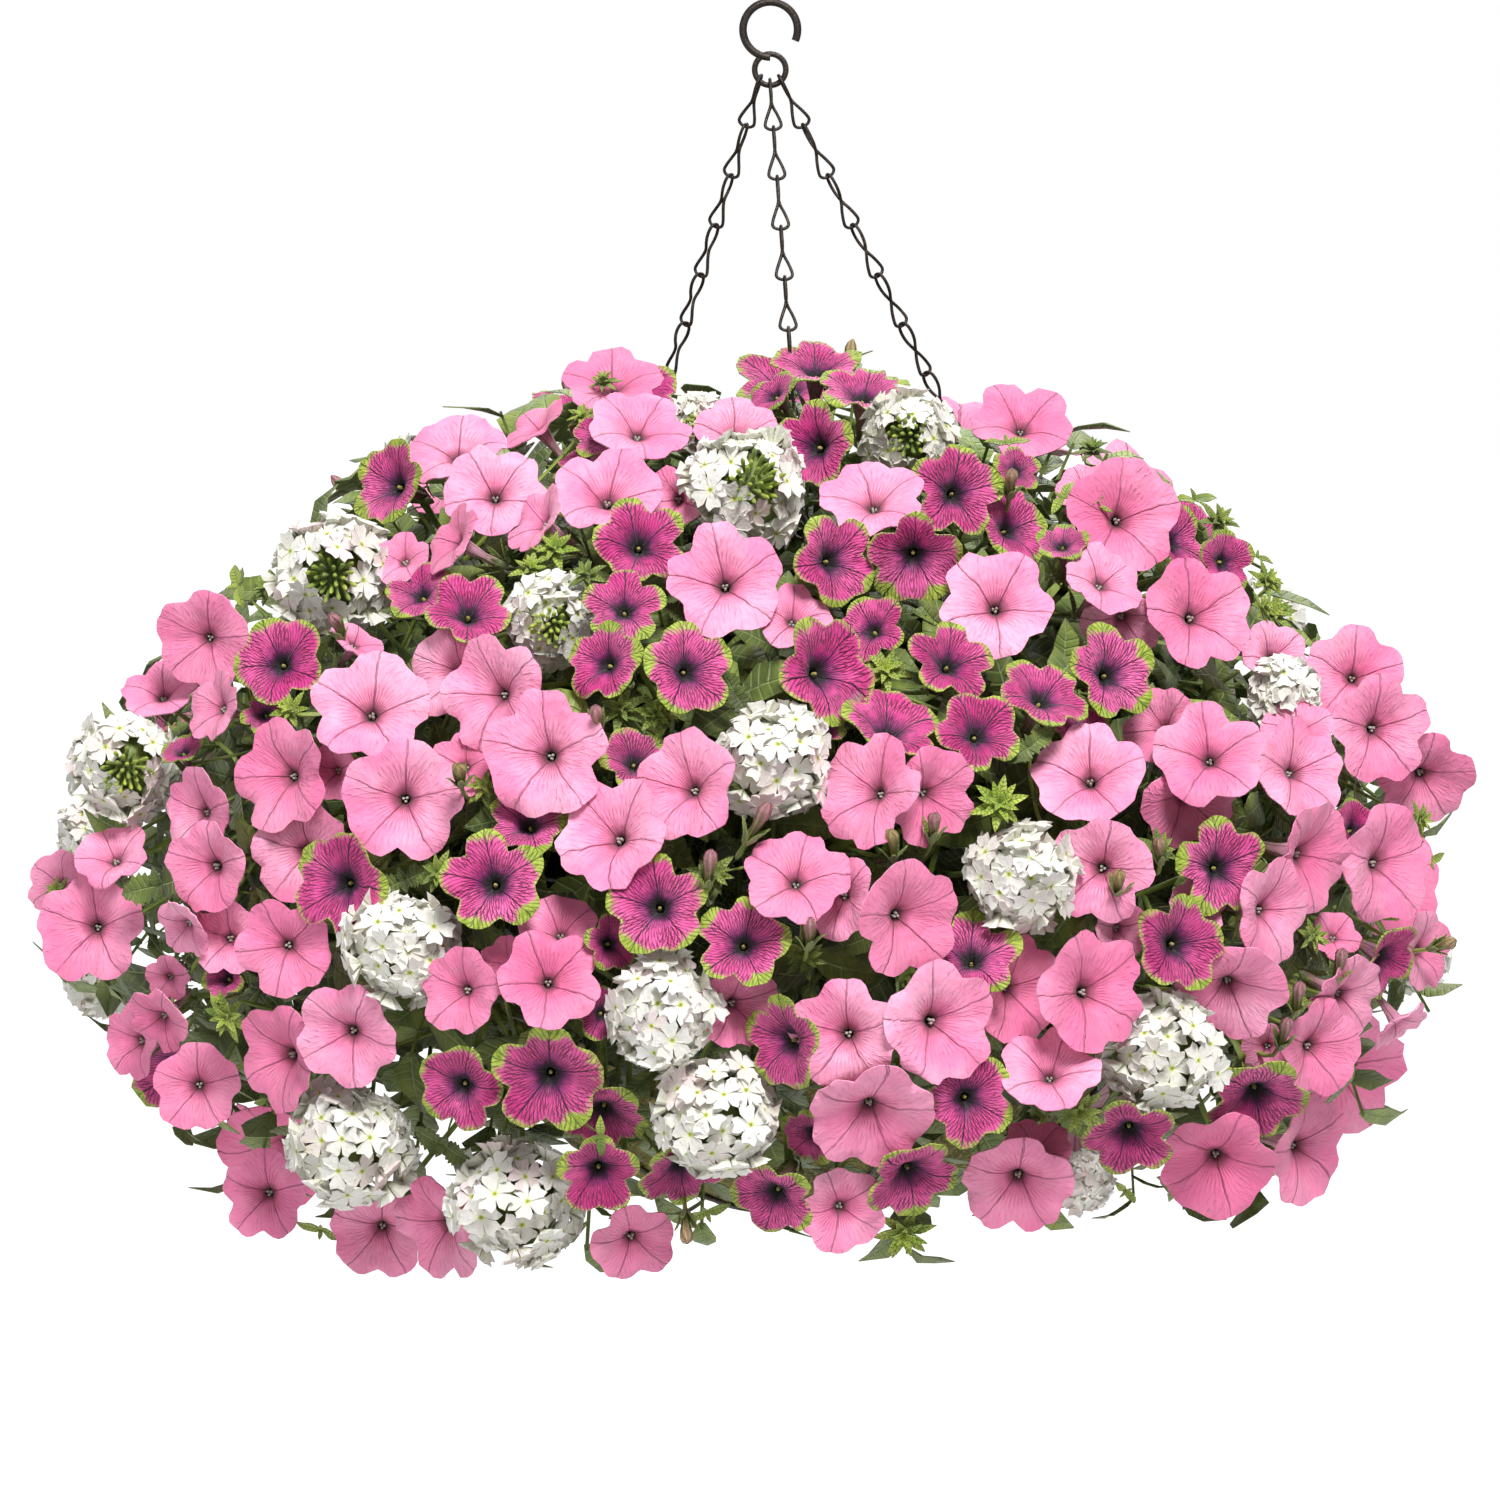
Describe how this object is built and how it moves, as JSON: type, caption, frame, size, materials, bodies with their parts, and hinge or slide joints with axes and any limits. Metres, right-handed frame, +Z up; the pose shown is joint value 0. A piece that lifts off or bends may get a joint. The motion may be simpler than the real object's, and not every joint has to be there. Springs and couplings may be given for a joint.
{
  "type": "petunia hanging basket",
  "caption": "Moss-lined wire hanging basket planted with a full dome of pink and lime-edged magenta petunias and white verbena, hung by three link chains from a hook.",
  "frame": {"origin": "the inside top of the hook's bow, where it rests on the pin or bracket that it hangs from", "axes": "+Z up; +Y away from someone who looks at the front; +X to their right"},
  "size_m": [0.7528, 0.7618, 0.6394],
  "materials": {
    "wire": "satin",
    "moss": "matte",
    "soil": "matte",
    "pink_petals": "satin",
    "magenta_petals": "satin",
    "white_florets": "matte",
    "leaves": "satin"
  },
  "bodies": {
    "root": {"chain_front": "wire", "chain_left": "wire", "chain_right": "wire", "hook": "wire", "leafy_spray_01": "leaves", "leafy_spray_02": "leaves", "leafy_spray_03": "leaves", "leafy_spray_04": "leaves", "leafy_spray_05": "leaves", "leafy_spray_06": "leaves", "leafy_spray_07": "leaves", "moss_liner": "moss", "pink_spray_01": "pink_petals", "pink_spray_02": "pink_petals", "pink_spray_03": "pink_petals", "pink_spray_04": "pink_petals", "pink_spray_05": "pink_petals", "pink_spray_06": "pink_petals", "pink_spray_07": "pink_petals", "pink_spray_08": "pink_petals", "pink_spray_09": "pink_petals", "pink_spray_10": "pink_petals", "pink_spray_11": "pink_petals", "pink_spray_12": "pink_petals", "pink_spray_13": "pink_petals", "pink_spray_14": "pink_petals", "pink_spray_15": "pink_petals", "pink_spray_16": "pink_petals", "pink_spray_17": "pink_petals", "pink_spray_18": "pink_petals", "purple_spray_01": "magenta_petals", "purple_spray_02": "magenta_petals", "purple_spray_03": "magenta_petals", "purple_spray_04": "magenta_petals", "purple_spray_05": "magenta_petals", "purple_spray_06": "magenta_petals", "purple_spray_07": "magenta_petals", "purple_spray_08": "magenta_petals", "purple_spray_09": "magenta_petals", "purple_spray_10": "magenta_petals", "purple_spray_11": "magenta_petals", "soil": "soil", "verbena_spray_01": "white_florets", "verbena_spray_02": "white_florets", "verbena_spray_03": "white_florets", "verbena_spray_04": "white_florets", "verbena_spray_05": "white_florets", "verbena_spray_06": "white_florets", "wire_basket": "wire"}
  },
  "joints": []
}
